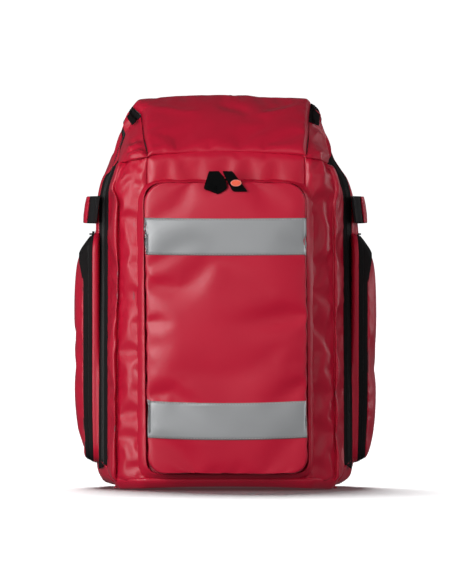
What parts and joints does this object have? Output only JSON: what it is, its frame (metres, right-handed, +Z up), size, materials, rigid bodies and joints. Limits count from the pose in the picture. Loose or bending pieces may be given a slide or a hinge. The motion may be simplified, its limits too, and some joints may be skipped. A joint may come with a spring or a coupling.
{
  "type": "trauma backpack",
  "caption": "Red clamshell first-aid backpack with a sloping top pocket, a box front pocket with reflective bands, side pockets, grab handles and padded shoulder straps.",
  "frame": {"origin": "on the floor under the rear half of the base, on the middle plane", "axes": "+Z up, the front pocket faces -Y, +X is to the right seen from the front"},
  "size_m": [0.422, 0.2878, 0.5524],
  "materials": {
    "red_fabric": "wipe-clean coated satin red cloth",
    "zip_black": "woven black zip tape with a coil",
    "webbing_black": "woven black nylon webbing",
    "pull_black": "moulded soft black pull",
    "slider_black": "black lacquered zip slider",
    "dot_orange": "moulded soft orange inlay",
    "reflective_silver": "silver glass-bead reflective tape",
    "plastic_black": "moulded black plastic",
    "stay_aluminium": "plain extruded bar",
    "padding_grey": "foam wrapped in grey cloth",
    "lining_grey": "thin grey lining cloth",
    "mesh_black": "black spacer mesh over foam"
  },
  "bodies": {
    "pack": {"rear_tub": "red_fabric", "rear_zip_tape": "zip_black", "rear_boot": "red_fabric", "base_board": "plastic_black", "frame_sheet": "plastic_black", "frame_stay_left": "stay_aluminium", "frame_stay_right": "stay_aluminium", "lower_divider": "padding_grey", "upper_divider": "padding_grey", "back_pad_left": "mesh_black", "back_pad_right": "mesh_black", "lumbar_pad": "mesh_black", "strap_yoke": "webbing_black", "side_gusset_left": "red_fabric", "side_gusset_right": "red_fabric", "side_inner_tape_left": "zip_black", "side_inner_tape_right": "zip_black", "grab_handle_left": "webbing_black", "grab_handle_right": "webbing_black", "haul_tab_left": "webbing_black", "haul_tab_right": "webbing_black", "strap_anchor_left": "webbing_black", "strap_anchor_right": "webbing_black"},
    "door": {"door_shell": "red_fabric", "door_zip_tape": "zip_black", "door_boot": "red_fabric", "door_mesh_pocket": "mesh_black", "top_pocket_liner": "lining_grey", "top_zip_tape": "zip_black", "hood_panel": "red_fabric", "pocket_flange": "red_fabric"},
    "top_flap": {"top_flap": "red_fabric"},
    "front_pocket": {"pocket_cover": "red_fabric", "upper_band": "reflective_silver", "lower_band": "reflective_silver"},
    "haul_handle": {"haul_handle": "webbing_black"},
    "main_zip_left": {"main_slider_left": "slider_black"},
    "front_zip_left": {"front_slider_left": "slider_black"},
    "front_pull_left": {"front_pull_left": "pull_black"},
    "side_pocket_left": {"side_outer_tape_left": "zip_black", "side_cover_left": "red_fabric"},
    "side_zip_left": {"side_slider_left": "slider_black"},
    "shoulder_left": {"shoulder_strap_left": "mesh_black", "ladder_lock_left": "plastic_black", "strap_webbing_left": "webbing_black", "sternum_strap_left": "webbing_black", "sternum_buckle_left": "plastic_black"},
    "main_zip_right": {"main_slider_right": "slider_black"},
    "front_zip_right": {"front_slider_right": "slider_black"},
    "front_pull_right": {"front_pull_right": "pull_black", "pull_dot": "dot_orange"},
    "side_pocket_right": {"side_outer_tape_right": "zip_black", "side_cover_right": "red_fabric"},
    "side_zip_right": {"side_slider_right": "slider_black"},
    "shoulder_right": {"shoulder_strap_right": "mesh_black", "ladder_lock_right": "plastic_black", "strap_webbing_right": "webbing_black", "sternum_strap_right": "webbing_black", "sternum_buckle_right": "plastic_black"}
  },
  "joints": [
    {"name": "door_hinge", "type": "hinge", "parent": "pack", "child": "door", "pos_m": [0, -0.035, 0], "axis": [1, 0, 0], "range_deg": [0, 170]},
    {"name": "top_flap_hinge", "type": "hinge", "parent": "door", "child": "top_flap", "pos_m": [0, -0.06037, 0.50474], "axis": [1, 0, 0], "range_deg": [0, 105]},
    {"name": "front_pocket_hinge", "type": "hinge", "parent": "door", "child": "front_pocket", "pos_m": [0, -0.1148, 0.028], "axis": [1, 0, 0], "range_deg": [0, 90]},
    {"name": "haul_hinge", "type": "hinge", "parent": "pack", "child": "haul_handle", "pos_m": [0, 0.1303, 0.503], "axis": [1, 0, 0], "range_deg": [0, 150]},
    {"name": "main_zip_slide_left", "type": "slide", "parent": "pack", "child": "main_zip_left", "axis": [-1, 0, 0], "range_m": [0, 0.08]},
    {"name": "front_zip_slide_left", "type": "slide", "parent": "front_pocket", "child": "front_zip_left", "axis": [-1, 0, 0], "range_m": [0, 0.058]},
    {"name": "front_pull_hinge_left", "type": "hinge", "parent": "front_zip_left", "child": "front_pull_left", "pos_m": [-0.017, -0.1436, 0.4404], "axis": [-1, 0, 0], "range_deg": [0, 120]},
    {"name": "side_pocket_hinge_left", "type": "hinge", "parent": "pack", "child": "side_pocket_left", "pos_m": [-0.1932, 0.086, 0.196], "axis": [0, 0, -1], "range_deg": [0, 100]},
    {"name": "side_zip_slide_left", "type": "slide", "parent": "pack", "child": "side_zip_left", "axis": [0, -1, 0], "range_m": [0, 0.022]},
    {"name": "strap_hinge_left", "type": "hinge", "parent": "pack", "child": "shoulder_left", "pos_m": [-0.066, 0.1343, 0.436], "axis": [1, 0, 0], "range_deg": [0, 75]},
    {"name": "main_zip_slide_right", "type": "slide", "parent": "pack", "child": "main_zip_right", "axis": [1, 0, 0], "range_m": [0, 0.08]},
    {"name": "front_zip_slide_right", "type": "slide", "parent": "front_pocket", "child": "front_zip_right", "axis": [1, 0, 0], "range_m": [0, 0.065]},
    {"name": "front_pull_hinge_right", "type": "hinge", "parent": "front_zip_right", "child": "front_pull_right", "pos_m": [0.002, -0.1436, 0.4404], "axis": [-1, 0, 0], "range_deg": [0, 120]},
    {"name": "side_pocket_hinge_right", "type": "hinge", "parent": "pack", "child": "side_pocket_right", "pos_m": [0.1932, 0.086, 0.196], "axis": [0, 0, 1], "range_deg": [0, 100]},
    {"name": "side_zip_slide_right", "type": "slide", "parent": "pack", "child": "side_zip_right", "axis": [0, -1, 0], "range_m": [0, 0.022]},
    {"name": "strap_hinge_right", "type": "hinge", "parent": "pack", "child": "shoulder_right", "pos_m": [0.066, 0.1343, 0.436], "axis": [1, 0, 0], "range_deg": [0, 75]}
  ]
}
